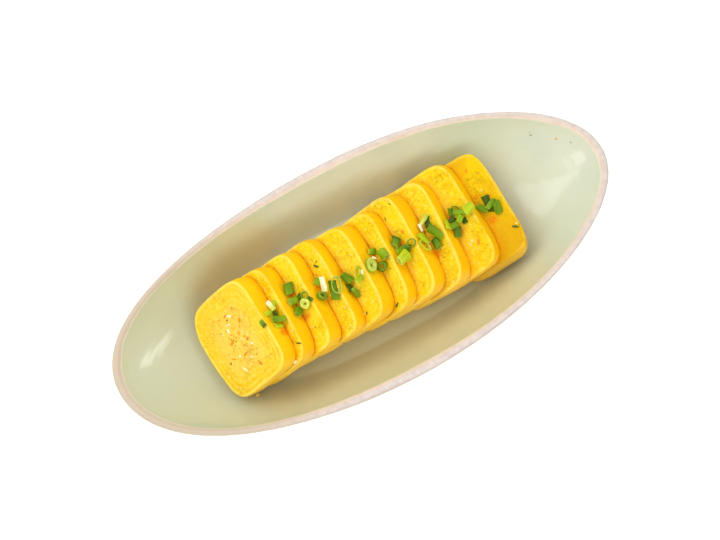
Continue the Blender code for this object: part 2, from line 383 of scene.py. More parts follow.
# %% Smooth random swells
def lumps(points, size, seed=0):
    """Noise from -1 to 1: the blend of a lattice's random corner values, with cubes of this size."""
    cell = points / size
    corner = np.floor(cell).astype(np.int64)
    share = cell - corner
    share = share * share * (3 - 2 * share)
    total = np.zeros(points.shape[:-1])
    for step in itertools.product((0, 1), repeat=3):
        key = (corner + step) @ np.array([127, 311, 743]) + seed * 1013
        value = np.sin(key * 12.9898) * 43758.5453
        value = 2 * (value - np.floor(value)) - 1
        weight = np.where(np.array(step) == 1, share, 1 - share).prod(axis=-1)
        total += weight * value
    return total


# %% [markdown]
# ## The dish's shape
#
# The dish is thrown or pressed by hand, so its rim is an ellipse with slow waves in it. A wall rises
# from a flat floor as a power curve, runs over a rounded lip, and comes back down outside at an even
# thickness to a foot ring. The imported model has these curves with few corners, because it is made for
# collision. Here the same curves are read at many more points, and the surface gets what the
# potter's fingers leave: faint ridges along the wall and soft dents.

# %% The dish's sizes
DISH_HALF_LENGTH = 157.3 * MM
DISH_HALF_WIDTH = 68.5 * MM
DISH_DEPTH = 34 * MM
DISH_WALL = 6 * MM
LIP_RADIUS = 3.1 * MM
FLOOR_HALF_LENGTH = 85 * MM
FLOOR_HALF_WIDTH = 38 * MM
FLOOR_SQUARENESS = 3.0
END_SWEEP = 1.7
SIDE_SWEEP = 1.35
FOOT_HEIGHT = 4 * MM
FOOT_WIDTH = 5 * MM
FOOT_DRAFT = 1.2 * MM
FOOT_RECESS = 3.2 * MM
HAND_THROWN = ((3, 0.0072, -74), (4, 0.0057, 120), (5, 0.0053, 9))  # waves, share of radius, degrees
DISH_COLUMNS = 320
OUTER_RINGS = 34
LIP_RINGS = 34
INNER_RINGS = 64
FLOOR_RINGS = 24
LIP_SMOOTHING = 40  # how often the joint of lip and inner wall is averaged with its neighbours

FLOOR_LEVEL = rim_level - DISH_DEPTH


# %% The dish's rings
def superellipse(half_length, half_width, squareness, angles):
    """Points of |x / a|^n + |y / b|^n = 1, at their true polar angle."""
    along, across = np.cos(angles), np.sin(angles)
    reach = np.abs(along / half_length) ** squareness + np.abs(across / half_width) ** squareness
    return np.stack([along, across], axis=-1) * (reach ** (-1 / squareness))[..., None]


def rim_outline(angles):
    """An ellipse times 1 + the sum of share * cos(n * angle + turn), centred on its box."""
    wave = 1 + sum(share * np.cos(n * angles + math.radians(turn)) for n, share, turn in HAND_THROWN)
    outline = np.stack([DISH_HALF_LENGTH * np.cos(angles), DISH_HALF_WIDTH * np.sin(angles)], axis=-1)
    outline *= wave[:, None]
    return outline - (outline.max(axis=0) + outline.min(axis=0)) / 2


def dish_grid():
    """Rings from the hollow of the foot, up the outside, over the lip and down to the floor's middle.

    Inside, the wall is z = floor + height * s^sweep, with s the share of the way from the floor's edge
    to the lip. Outside it is the same curve moved by the wall's thickness along its normal.
    """
    angles = np.arange(DISH_COLUMNS) * 2 * math.pi / DISH_COLUMNS
    rim = rim_outline(angles)
    rim_length = np.linalg.norm(rim, axis=1)
    outward = rim / rim_length[:, None]
    rim_radius = rim_length - 2 * LIP_RADIUS
    bearing = np.arctan2(rim[:, 1], rim[:, 0])
    floor = superellipse(FLOOR_HALF_LENGTH, FLOOR_HALF_WIDTH, FLOOR_SQUARENESS, bearing)
    floor_radius = np.linalg.norm(floor, axis=1)
    sweep = SIDE_SWEEP + (END_SWEEP - SIDE_SWEEP) * np.cos(angles) ** 2
    wall_height = DISH_DEPTH - LIP_RADIUS

    def ring(radius, height):
        radius, height = np.broadcast_arrays(radius, height)
        flat = outward * radius[..., None]
        return np.concatenate([flat, height[..., None] * np.ones(flat.shape[:-1] + (1,))], axis=-1)

    def wall(shares, thickness):
        share = shares[:, None]
        run = rim_radius - floor_radius
        rise = wall_height * sweep * share ** (sweep - 1)
        slope = np.hypot(rise, run)
        radius = floor_radius + share * run + thickness * rise / slope
        height = FLOOR_LEVEL + wall_height * share**sweep - thickness * run / slope
        return ring(radius, height)

    hollow = np.array([0.3, 0.6, 0.85, 1.0])[:, None] * (floor_radius - FOOT_WIDTH - FOOT_DRAFT)
    tread = floor_radius - FOOT_WIDTH * np.array([1.0, 0.85, 0.15, 0.0])[:, None]
    foot_top = floor_radius + FOOT_DRAFT
    turn = np.radians(np.linspace(-40, 175, LIP_RINGS))[:, None]
    lip = rim_radius + LIP_RADIUS * (1 + np.cos(turn))
    lip_height = rim_level - LIP_RADIUS * (1 - np.sin(turn))
    middle = np.linspace(0.97, 0.05, FLOOR_RINGS)[:, None] * floor_radius
    rings = np.concatenate([
        ring(hollow, np.array([1.0, 1.0, 1.0, 0.9])[:, None] * FOOT_RECESS),
        ring(tread, np.array([0.3, 0.0, 0.0, 0.3])[:, None] * MM),
        ring(foot_top[None], np.array([[FOOT_HEIGHT]])),
        wall(np.linspace(0.14, 0.93, OUTER_RINGS), DISH_WALL),
        ring(lip, lip_height),
        wall(np.linspace(0.99, 0.0, INNER_RINGS), 0.0),
        ring(middle, np.array([[FLOOR_LEVEL]])),
    ])
    lip_end = len(hollow) + len(tread) + 1 + OUTER_RINGS + LIP_RINGS
    first, last = lip_end - 12, lip_end + 8
    for _ in range(LIP_SMOOTHING):
        before, after = rings[first - 1 : last - 1], rings[first + 1 : last + 1]
        rings[first:last] = (before + 2 * rings[first:last] + after) / 4
    return rings


smooth_rings = dish_grid()
print("dish rings:", smooth_rings.shape, "rim at", round(float(smooth_rings[..., 2].max() / MM), 2), "mm")

# %% [markdown]
# ## Where the glaze ends
#
# The potter wiped the glaze off the lip, so a band of bare pinkish clay runs all the way round, and
# the glaze stops beside it in a thick, wandering edge. `from_lip` is how far a point lies from the
# top of the lip along the surface: positive inside the dish, negative outside. Its distance from a
# wandering line gives the share of glaze, which both lifts the surface and colours it.

# %% Glaze edge and hand-made surface
LIP_BARE_INSIDE = 2.5 * MM
LIP_BARE_OUTSIDE = 4.2 * MM
GLAZE_THICKNESS = 0.28 * MM
GLAZE_EDGE = 0.5 * MM  # how far the glaze takes to reach its full thickness
FOOT_BARE = 5.5 * MM  # bare clay above the table, where the glaze would stick to the kiln
RIDGE_SPACING = 7.5 * MM
RIDGE_HEIGHT = 0.018 * MM
DENT_SIZE = 34 * MM
DENT_DEPTH = 0.35 * MM


def along_profile(grid):
    """The way walked along each column from ring to ring."""
    steps = np.linalg.norm(np.diff(grid, axis=0), axis=-1)
    return np.vstack([np.zeros(grid.shape[1]), np.cumsum(steps, axis=0)])


def grid_normals(grid):
    """Unit normals of a ring grid: the cross product of the steps along and round it."""
    along = np.gradient(grid, axis=0)
    around = np.roll(grid, -1, axis=1) - np.roll(grid, 1, axis=1)
    normal = np.cross(around, along)
    return normal / np.maximum(np.linalg.norm(normal, axis=-1, keepdims=True), 1e-12)


def step_up(value, low, high):
    """0 below low, 1 above high and 3s^2 - 2s^3 between them."""
    share = np.clip((value - low) / (high - low), 0, 1)
    return share * share * (3 - 2 * share)


walked = along_profile(smooth_rings)
lip_ring = int(smooth_rings[..., 2].mean(axis=1).argmax())
from_lip = walked - walked[lip_ring]
wander = 0.45 * MM * lumps(smooth_rings, 9 * MM, 1) + 0.3 * MM * lumps(smooth_rings, 3.2 * MM, 2)
inside = step_up(from_lip - LIP_BARE_INSIDE + wander, 0, GLAZE_EDGE)
outside = step_up(-from_lip - LIP_BARE_OUTSIDE + wander, 0, GLAZE_EDGE)
outside *= step_up(smooth_rings[..., 2] - FOOT_BARE + wander, 0, GLAZE_EDGE)
outside[: lip_ring // 8] = 0
glaze_share = np.where(from_lip > 0, inside, outside)

on_wall = step_up(smooth_rings[..., 2], FLOOR_LEVEL, FLOOR_LEVEL + 8 * MM)
ridge_way = walked + 2 * MM * lumps(smooth_rings, 40 * MM, 3)
ridges = RIDGE_HEIGHT * np.sin(2 * math.pi * ridge_way / RIDGE_SPACING)
dents = DENT_DEPTH * lumps(smooth_rings, DENT_SIZE, 4) + 0.1 * MM * lumps(smooth_rings, 11 * MM, 5)
swell = GLAZE_THICKNESS * (glaze_share - 0.5) + on_wall * (ridges + 0.5 * dents)
swell[smooth_rings[..., 2] < FOOT_HEIGHT] = 0
dish_rings = smooth_rings + swell[..., None] * grid_normals(smooth_rings)
print("glazed share of the surface:", round(float(glaze_share.mean()), 2))

# %% [markdown]
# ## Celadon glaze and bare clay
#
# Celadon is a pale green glaze. Two warm straw patches beside the row of egg are a painted reflection
# of the yellow egg in the glaze, and a darker, warmer grey towards the left end of glaze and clay is
# painted shade. The glaze is glossy but not a mirror, and where it thins out beside the lip the iron in
# the clay shows as an orange-pink line. The bare clay is matt: peach beside the glaze, lilac-grey on the
# rest of the lip, and painted darker round its outside, as shade on the lip's outer side. One Principled
# shader holds both, with the share of glaze choosing its colour and roughness.

# %% Stoneware
EGG_REFLECTIONS = (  # along and across of a painted reflection of the egg, half its length and width, in mm, and its strength
    (0, -42, 105, 44, 0.7),
    (-68, 47, 36, 15, 0.5),
)

stone = Graph("celadon_stoneware")
spot = stone.place()
glaze_mask = stone.attribute("glaze")
lip_way = stone.attribute("from_lip")

glaze_cloud = stone.noise(spot, 30 * MM, 2.0)
grain = stone.noise(spot, 2.2 * MM, 4.0)
celadon = stone.mix(glaze_cloud.between(0.35, 0.65), srgb(199, 208, 182), srgb(209, 213, 189))
celadon = stone.coats(
    celadon,
    (stone.noise(spot, 12 * MM, 3.0).between(0.4, 0.8) * 0.5, 192, 203, 180),
    (grain.between(0.62, 0.75) * 0.12, 170, 170, 140),
)
# Painted reflection: warm straw patches beside the row stand for the yellow egg mirrored in the glaze.
for along, across, half_along, half_across, strength in EGG_REFLECTIONS:
    scale = (1 / (half_along * MM), 1 / (half_across * MM), 0)
    sockets = {0: spot, 1: scale, 2: (-along / half_along, -across / half_across, 0)}
    way = stone.add("ShaderNodeVectorMath", {"operation": "MULTIPLY_ADD"}, sockets)
    way = stone.add("ShaderNodeVectorMath", {"operation": "LENGTH"}, {0: way}, "Value")
    egg_reflection = 1 - (way + (glaze_cloud - 0.5) * 0.5).between(0.7, 1.25)
    celadon = stone.coats(celadon, (egg_reflection * strength, 205, 195, 142))
# Painted shade: glaze and clay are painted darker and greyer towards the left end.
left_end_shade = 1 - stone.axis(spot, 0).between(-120 * MM, -30 * MM)
thin = (1 - glaze_mask.between(0.55, 1.0)) * 0.9
celadon = stone.coats(celadon, (left_end_shade * 0.75, 190, 192, 160), (thin, 220, 196, 170))

peach = stone.mix(grain.between(0.4, 0.7), srgb(226, 205, 188), srgb(219, 196, 178))
lilac = stone.mix(grain.between(0.35, 0.65), srgb(214, 201, 192), srgb(203, 190, 182))
lip_way = lip_way + (stone.noise(spot, 14 * MM, 1.0) - 0.5) * 1.6
clay = stone.mix(1 - lip_way.between(0.0, 2.0), peach, lilac)
sand = stone.cells(spot, 1.3 * MM)
clay = stone.coats(
    clay,
    # painted shade: the clay is painted darker round the outside of the lip
    ((1 - lip_way.between(-4.0, -1.6)) * 0.7, 170, 157, 147),
    ((1 - sand.between(0.06, 0.22)) * grain.between(0.45, 0.6) * 0.2, 150, 126, 112),
    # painted shade towards the left end, as on the glaze
    (left_end_shade * 0.8, 192, 175, 150),
)

glazed = glaze_mask.between(0.2, 0.6)
relief = (1 - glazed) * (grain + (1 - sand.between(0.0, 0.3)) * 0.5)
pinholes = stone.cells(spot, 9 * MM).between(0.0, 0.05)
stone.finish(
    Base_Color=stone.mix(glazed, clay, celadon),
    Roughness=0.78 - glazed * 0.65,
    Normal=stone.bump(relief * 0.6 + glazed * pinholes * 0.4, 0.12 * MM),
    IOR=1.5,
)

# %% The dish
dish_numbers = {"glaze": with_poles(glaze_share), "from_lip": with_poles(from_lip / MM)}
dish = add_piece("stoneware_dish", *closed_grid(dish_rings), dish_numbers, stone.material)
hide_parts("dish")
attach(dish, "root")

# %% [markdown]
# ## The slices' shape
#
# One slanted stroke of the knife makes the back of a slice and the face of the next, so a slice is the
# piece of the roll between two planes. Each plane is given by where its foot meets the dish's floor,
# how far it leans back and how far it turns. The roll's cross-section is a superellipse, a rectangle
# with full round corners, and it strays a little from one slice to the next. How far each slice has
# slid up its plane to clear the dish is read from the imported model's boxes.

# %% The cuts and the roll
ROW_OFFSET = np.array([-0.7 * MM, 0.4 * MM])  # the whole row lies a little off the dish's middle
CUTS = (  # along and across in mm, lean and turn: each slice's face, then the last slice's end
    (-114.0, -3.5, 43.0, 3.5),
    (-93.0, -1.0, 44.5, 1.5),
    (-77.0, 0.5, 43.5, 0.5),
    (-60.5, 0.5, 42.5, 1.0),
    (-46.5, 0.5, 41.5, 0.5),
    (-27.5, 1.5, 40.0, -1.5),
    (-14.0, 1.5, 38.0, 0.0),
    (2.5, 3.5, 33.0, -3.0),
    (16.0, 1.5, 27.5, 3.0),
    (35.5, 1.0, 25.0, 2.0),
    (53.5, 2.0, 15.5, 1.0),
)
SLICE_WIDTHS = [width * MM for width in (60, 60.5, 60.5, 62, 61, 62.5, 65, 67, 68, 67)]
SLICE_HEIGHT = 48 * MM
SLICE_SQUARENESS = 5.3
EDGE_ROUND = 0.8 * MM
SIDE_SWELL = 0.35 * MM
UNEVEN = 0.5 * MM
FOOT_BOW = 3.0 * MM  # how far the front slice sags below its lower corners
END_TAPER = 6.0 * MM  # how much lower the end piece is at its back than at its face
END_SWELL = 2.2 * MM  # how far the end piece's near side bulges past its face
GAP = 0.3 * MM
SLICE_COLUMNS = 220
FACE_ROWS = 60
ROLL_TURNS = 9.0  # how many layers lie between the middle of the roll and its skin


# %% A slice as a grid
def cut_frame(cut):
    """A cut's foot, and its directions: across the roll, up the cut, and into the slice."""
    along, side, lean, turn = cut
    lean, turn = math.radians(lean), math.radians(turn)
    foot = np.array([along * MM + ROW_OFFSET[0], side * MM + ROW_OFFSET[1], FLOOR_LEVEL])
    forward = np.array([math.cos(turn), math.sin(turn), 0.0])
    across = np.array([-math.sin(turn), math.cos(turn), 0.0])
    upward = math.cos(lean) * forward + np.array([0.0, 0.0, math.sin(lean)])
    inward = math.sin(lean) * forward - np.array([0.0, 0.0, math.cos(lean)])
    return foot, across, upward, inward


def slice_outline(number):
    """The superellipse times 1 + stray / radius, stray being two slow waves that differ by slice."""
    bearing = np.arange(SLICE_COLUMNS) * 2 * math.pi / SLICE_COLUMNS
    half_width, half_height = SLICE_WIDTHS[number] / 2, SLICE_HEIGHT / 2
    outline = superellipse(half_width, half_height, SLICE_SQUARENESS, bearing)
    share = outline / [half_width, half_height]
    swept = np.sign(share) * np.abs(share) ** (SLICE_SQUARENESS / 2)
    angles = np.arctan2(swept[:, 1], swept[:, 0])
    stray = UNEVEN * (np.sin(2 * angles + number) + np.cos(3 * angles + 2 * number) / 2)
    outline = outline * (1 + stray / np.linalg.norm(outline, axis=1))[:, None]
    if number == 0:
        low = np.clip(-share[:, 1], 0, 1)
        outline[:, 1] -= FOOT_BOW * low**2 * (1 - share[:, 0] ** 2) * (1 + share[:, 0] / 2)
    return outline


def slice_profile():
    """Rows from the middle of the face to the middle of the back.

    Each row has the share of the radius, what it is drawn in by, the share of the thickness and the
    depth added to that. The face and the back meet the side in quarter circles.
    """
    face = [(share, EDGE_ROUND, 0.0, 0.0) for share in np.linspace(0.02, 1.0, FACE_ROWS)]
    bends = [math.radians(turn) for turn in (18, 36, 54, 72, 90)]
    soft = [(1.0, EDGE_ROUND * (1 - math.sin(a)), 0.0, EDGE_ROUND * (1 - math.cos(a))) for a in bends]
    side = []
    for share in np.linspace(0.08, 0.92, 12):
        side.append((1.0, -SIDE_SWELL * math.sin(math.pi * share), share, EDGE_ROUND * (1 - 2 * share)))
    hard = [(1.0, drawn, 1.0, -depth) for _, drawn, _, depth in reversed(soft)]
    behind = [(share, EDGE_ROUND, 1.0, 0.0) for share in np.linspace(1.0, 0.1, 8)]
    return np.array(face + soft + side + hard + behind)


def slice_grid(number, slide):
    """A slice's rings, with each point's depth behind the face and the thickness there."""
    foot, across, upward, inward = cut_frame(CUTS[number])
    next_foot, _, _, next_inward = cut_frame(CUTS[number + 1])
    outline = slice_outline(number)
    radius = np.linalg.norm(outline, axis=1)
    share, drawn, way, extra = (column[:, None] for column in slice_profile().T)
    flat = outline * (share * (1 - drawn / radius))[..., None]
    flat[..., 1] += SLICE_HEIGHT / 2
    if number == len(SLICE_WIDTHS) - 1:
        near = np.clip(-flat[..., 0] / SLICE_WIDTHS[number] * 2, 0, 1)
        flat[..., 0] -= END_SWELL * np.sin(math.pi * way) * near**2
        flat[..., 1] *= 1 - way * END_TAPER / SLICE_HEIGHT
    face = foot + flat[..., :1] * across + (flat[..., 1:] + slide) * upward
    thickness = ((next_foot - face) @ next_inward - GAP) / (inward @ next_inward)
    depth = way * thickness + extra
    return face + depth[..., None] * inward, depth, thickness


def slide_of(number):
    """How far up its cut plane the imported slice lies: its top against that of a slice not moved."""
    _, _, upward, _ = cut_frame(CUTS[number])
    still = slice_grid(number, 0.0)[0][..., 2].max()
    return (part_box(f"slice_{number + 1:02d}")[1][2] - still) / upward[2]


print("slides in mm:", [round(slide_of(number) / MM, 1) for number in range(len(SLICE_WIDTHS))])

# %% [markdown]
# ## Rolled layers and pores
#
# Across a cut face the rolled sheet shows as a spiral. With `turn` the share of a full turn round the
# middle and `reach` the share of the way out, the number of layers crossed is
# `reach * ROLL_TURNS + turn`: it grows by one on each way round, which is what a spiral is. The grooves
# between layers and the soft dents of the crumb are real relief. Finer pores are left to the finish.

# %% Relief of the cut faces
LAYER_GROOVE = 0.09 * MM
FACE_DENTS = 0.24 * MM
SKIN_DENTS = 0.22 * MM


def slice_relief(points, number, profile):
    """How far each point stands proud: grooves along the spiral on the face, and soft dents all over."""
    rows, columns = points.shape[:2]
    reach = np.broadcast_to(profile[:, :1], (rows, columns))
    on_face = np.broadcast_to((profile[:, 2:3] == 0) & (profile[:, 3:4] == 0), (rows, columns))
    turn = np.arange(columns) / columns
    layer = reach * ROLL_TURNS + turn + 0.35 * lumps(points, 9 * MM, 20 + number)
    broken = 0.5 + 0.5 * lumps(points, 5 * MM, 40 + number)
    groove = LAYER_GROOVE * broken * np.cos(2 * math.pi * layer) * step_up(reach, 0.15, 0.4)
    dents = FACE_DENTS * (lumps(points, 6 * MM, 60 + number) + 0.5 * lumps(points, 2.4 * MM, 80 + number))
    skin = SKIN_DENTS * (lumps(points, 10 * MM, 100) + 0.3 * lumps(points, 3.5 * MM, 101))
    return np.where(on_face, groove + dents * step_up(1 - reach, 0.0, 0.06), skin)


# %% [markdown]
# ## Egg
#
# The cut face is lemon yellow, deeper in the layers near the skin and paler towards the middle, with
# short wrinkles where two layers meet and a scatter of tiny browned pores. Outside, the roll is deeper
# and more orange, because that side lay on the pan. A soft pale band along every cut edge is a painted
# highlight. Where one slice touches the next, both are painted darker orange, and the skin deeper orange
# towards it, as shade in the crease, and juice stains the egg orange under the onion. Light goes a
# little way into egg before it comes out again, which is subsurface scattering. Three numbers on the
# mesh say where a point is, in millimetres: `from_edge`, its way from the cut edge, positive on the
# face and negative on the skin, `from_back`, the way to the far edge, and `from_neighbour`, how far a
# face sticks out past the slice that leans on it. A fourth, the slice's painted shade, tells the slices
# apart: 0 is the first one, whose layers and pale heart show best, and the end piece, in the shadow of
# the slice before it, is nearly 1, painted a deeper gold all over.

# %% Egg
STAINS = (  # along and across of the spots that juice has coloured, and their radius, in mm
    (-57.7, -11.0, 4.0),
    (-42.9, 6.3, 2.6),
    (-42.9, -8.4, 4.2),
    (-30.3, 3.2, 3.0),
    (-25.0, -5.6, 3.2),
    (-12.2, 6.0, 3.2),
    (8.4, 4.6, 2.8),
    (26.2, 4.2, 3.0),
    (41.5, -9.8, 4.0),
    (59.6, 7.0, 3.2),
    (62.4, -3.6, 4.0),
    (79.6, 9.0, 5.0),
    (86.4, 6.8, 2.4),
    (81.8, -6.0, 4.6),
)

egg = Graph("rolled_egg")
spot = egg.place()
from_edge = egg.attribute("from_edge")
from_back = egg.attribute("from_back")
from_neighbour = egg.attribute("from_neighbour")
richness = egg.attribute("richness")
roll = egg.add("ShaderNodeUVMap", {"uv_map": "roll"}, {})
turn_share = egg.axis(roll, 0)
reach_share = egg.axis(roll, 1)
side_place = egg.axis(spot, 1)

cloud = egg.noise(spot, 7 * MM, 3.0)
crumb = egg.noise(spot, 1.0 * MM, 4.0)
blotch = egg.noise(spot, 3.2 * MM, 2.0, 0.6)
layers = reach_share * ROLL_TURNS + turn_share + (egg.noise(spot, 4 * MM, 2.0) - 0.5) * 0.9
near_line = layers.sum("PINGPONG", layers, 0.5)
line = (1 - near_line.between(0.03, 0.3)) * (0.3 + blotch.between(0.5, 0.62))
crease = 1 - abs(egg.noise(spot, 2.6 * MM, 3.0, 1.2) - 0.5).between(0.004, 0.022)
wrinkle = crease * egg.noise(spot, 6 * MM, 1.0).between(0.5, 0.6)

heart = 1 - (reach_share + (cloud - 0.5) * 0.3).between(0.45, 0.8)
plain = richness.between(0.0, 0.04)
layered = (1 - plain) * (0.1 + (1 - side_place.between(-22 * MM, 14 * MM)) * 0.28)
grainy = (0.25 + heart * 0.5).at_least(plain)
face = egg.coats(
    egg.mix(cloud.between(0.35, 0.65), srgb(240, 205, 4), srgb(242, 213, 34)),
    (0.5 - plain * 0.5, 238, 194, 58),
    (heart * (1 - plain * 0.6) * (0.5 + blotch * 0.6), 246, 204, 84),
    (near_line.between(0.3, 0.5) * (1 - heart) * (layered - plain * 0.1), 248, 216, 104),
    (line * (1 - heart) * (0.3 + layered), 238, 178, 4),
    (wrinkle * grainy * 0.4, 234, 162, 4),
    ((1 - crumb.between(0.32, 0.46)) * grainy * 0.4, 238, 168, 6),
    (crumb.between(0.54, 0.66) * 0.55, 251, 222, 100),
)

skin = egg.mix(cloud.between(0.3, 0.7), srgb(248, 188, 0), srgb(250, 199, 2))
# Painted shade: the skin is painted deeper orange towards its back edge, in the crease against the next
# slice.
skin = egg.coats(skin, ((1 - from_back.between(0.0, 6.0)) * 0.5, 246, 166, 0))
# Painted shade: the gold that slices in shade are painted, darker towards the near side; the slice's
# painted shade sets its share.
shaded_gold = egg.mix(side_place.between(-24 * MM, 16 * MM), srgb(213, 163, 0), srgb(229, 194, 0))
shaded_gold = egg.coats(shaded_gold, (cloud.between(0.5, 0.66) * 0.5, 212, 154, 0))
on_face = from_edge.between(-0.35, 0.1)
flesh = egg.mix(richness, egg.mix(on_face, skin, face), shaded_gold)

# Painted highlight: a pale band along every cut edge, fainter on the slices painted in shade.
edge_highlight = 1 - abs(from_edge - 0.3).between(0.1, 1.3)
edge_highlight = edge_highlight * (cloud.between(0.25, 0.6) - richness * 0.6)
near_side = 1 - side_place.between(-31 * MM, -25 * MM)
# Painted shade: darker orange in the crease where one slice touches the next.
contact_shade = (1 - from_neighbour.between(0.2, 0.9)).at_least(1 - from_back.between(0.15, 0.7))
level_spot = egg.add("ShaderNodeVectorMath", {"operation": "MULTIPLY"}, {0: spot, 1: (1, 1, 0)})
stain = None
for along, across, radius in STAINS:
    settings, middle = {"operation": "DISTANCE"}, (along * MM, across * MM, 0)
    way = egg.add("ShaderNodeVectorMath", settings, {0: level_spot, 1: middle}, "Value")
    here = 1 - (way / (radius * MM) + (blotch - 0.5) * 1.6).between(0.1, 1.0)
    stain = here if stain is None else stain.at_least(here)
pores = 1 - egg.cells(spot, 1.9 * MM).between(0.06, 0.18)
pores = pores * blotch.between(0.55, 0.65) * on_face * grainy
flesh = egg.coats(
    flesh,
    (edge_highlight * 0.7, 252, 220, 96),
    (near_side * (1 - on_face) * (0.2 + cloud * 0.5), 248, 204, 96),
    # painted shade: more orange on a face near the slice that leans on it, and darker orange where two
    # slices touch
    ((1 - from_neighbour.between(0.0, 4.5)) * on_face * 0.5, 248, 168, 0),
    (contact_shade * blotch.between(0.35, 0.55) * 0.6, 206, 112, 2),
    (stain * 0.6, 240, 138, 2),
    (stain.between(0.6, 1.0) * crumb.between(0.45, 0.6) * 0.4, 216, 96, 4),
    (pores * 0.65, 206, 120, 8),
)
egg.finish(
    Base_Color=flesh,
    Roughness=0.5 + on_face * 0.14 + crumb * 0.1,
    Normal=egg.bump(crumb * 0.7 + cloud * 0.5 - wrinkle * on_face * 0.6 - pores, 0.42 * MM),
    Subsurface_Weight=0.3,
    Subsurface_Radius=(1.0, 0.55, 0.08),
    Subsurface_Scale=2.0 * MM,
    Specular_IOR_Level=0.16,
    IOR=1.4,
)

# %% The ten slices
# Painted shade on each slice: the flatter slices towards the end are painted a deeper gold, and the end
# piece most, in the shadow of the slice before it. 0 also marks the first slice.
SLICE_SHADES = (0.0, 0.05, 0.05, 0.05, 0.1, 0.1, 0.1, 0.15, 0.25, 0.92)
BACK_RIM = FACE_ROWS + 22  # the row where the back meets the side: 5 soft, 12 side and 5 hard rows on


def store_roll(mesh, profile, columns):
    """A UV map that holds turn and reach at each face corner, so that the spiral has no seam."""
    rows = len(profile)
    row, column = np.meshgrid(np.arange(rows - 1), np.arange(columns), indexing="ij")
    turn = np.stack([column, column + 1, column + 1, column], axis=-1) / columns
    reach = profile[np.stack([row, row, row + 1, row + 1], axis=-1), 0]
    ring = np.stack([turn, reach], axis=-1).reshape(-1, 2)
    middle = np.arange(columns)
    caps = []
    for row_number, ends in ((0, (1, 0)), (rows - 1, (0, 1))):
        turns = [(middle + 0.5) / columns, (middle + ends[0]) / columns, (middle + ends[1]) / columns]
        share = profile[row_number, 0]
        reaches = np.broadcast_to([0.0, share, share], (columns, 3))
        caps.append(np.stack([np.stack(turns, axis=-1), reaches], axis=-1).reshape(-1, 2))
    layer = mesh.uv_layers.new(name="roll")
    layer.data.foreach_set("uv", np.vstack([ring, *caps]).astype(np.float32).ravel())


def past_neighbour(grid, number):
    """How far each point of a face lies from the outline of the slice that leans on it."""
    if number == 0:
        return np.full(grid.shape[:2], 1.0)
    foot, across, upward, _ = cut_frame(CUTS[number])
    plane = np.stack([across, upward], axis=-1)
    before = slice_grid(number - 1, slide_of(number - 1))[0]
    rim = (before[BACK_RIM] - foot) @ plane
    here = (grid[:FACE_ROWS] - foot) @ plane
    nearest = np.linalg.norm(here[:, :, None] - rim, axis=-1).min(axis=-1)
    rest = np.full((len(grid) - FACE_ROWS, grid.shape[1]), 1.0)
    return np.vstack([nearest, rest])


def add_slice(number):
    """One slice: its grid, moved out along its normals by the relief, with the numbers egg reads."""
    profile = slice_profile()
    grid, depth, thickness = slice_grid(number, slide_of(number))
    relief = slice_relief(grid, number, profile)
    points, quads, caps = closed_grid(grid + relief[..., None] * grid_normals(grid))
    radius = np.linalg.norm(slice_outline(number), axis=1)
    edge = np.where(depth < EDGE_ROUND / 2, (1 - profile[:, :1]) * radius, EDGE_ROUND / 2 - depth)
    numbers = {
        "from_edge": with_poles(edge / MM),
        "from_back": with_poles((thickness - depth) / MM),
        "from_neighbour": with_poles(past_neighbour(grid, number) / MM),
        "richness": np.full(len(points), SLICE_SHADES[number]),
    }
    name = f"egg_slice_{number + 1:02d}"
    piece = add_piece(name, points, quads, caps, numbers, egg.material)
    store_roll(piece.data, profile, SLICE_COLUMNS)
    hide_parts(f"slice_{number + 1:02d}")
    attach(piece, "root")


for number in range(len(SLICE_WIDTHS)):
    add_slice(number)

# %% [markdown]
# ## Spring onion
#
# The leaves of a spring onion are hollow tubes. Chopped, they lie on their side as tubes, leaves of a
# tube that split open and strips of white stem, or stand on a cut end as thin hoops and thick rings,
# down to a core and a base that are nearly solid. All are one surface, a tube wall of some thickness
# swept round an oval: its rows go round the oval and its columns round the section of the wall. A split
# leaf simply stops before it has gone all the way round. Small random bends keep any two pieces from
# looking alike. Each point stores which side of the wall it is on, its place in the straight tube for
# the stripes, and a tone that runs from 0 for white stem to 1 for dark leaf.

# %% Onion shapes
ONION_KINDS = {  # degrees of the tube that are kept, wall, height of a standing piece, flattening
    "tube": (360, 0.75 * MM, None, 0.62),
    "leaf": (190, 0.6 * MM, None, 0.5),
    "strip": (150, 1.0 * MM, None, 0.42),
    "ring": (360, 1.9 * MM, 2.6 * MM, None),
    "core": (360, 2.5 * MM, 2.8 * MM, None),
    "base": (360, 3.4 * MM, 3.2 * MM, None),
    "hoop": (360, 0.5 * MM, 1.5 * MM, None),
}
ONION_ROWS = 44
ONION_SCALE = 1.06 * MM
RIB_WIDTH = 0.75 * MM
RIB_HEIGHT = 0.05 * MM
CRUMPLE = 0.3 * MM


def wall_section(half_length, wall):
    """Side, from -1 inside to 1 outside, and height, round a flat bar with half-round ends."""
    bend = np.radians(np.linspace(90, -90, 7))
    straight = half_length - wall / 2
    rise = np.linspace(-1, 1, 9)[1:-1] * straight
    top = np.stack([np.sin(bend), straight + wall / 2 * np.cos(bend)], axis=-1)
    sides = [np.stack([np.ones(7), rise], axis=-1), np.stack([-np.ones(7), rise[::-1]], axis=-1)]
    return np.vstack([sides[0], top, sides[1], -top])


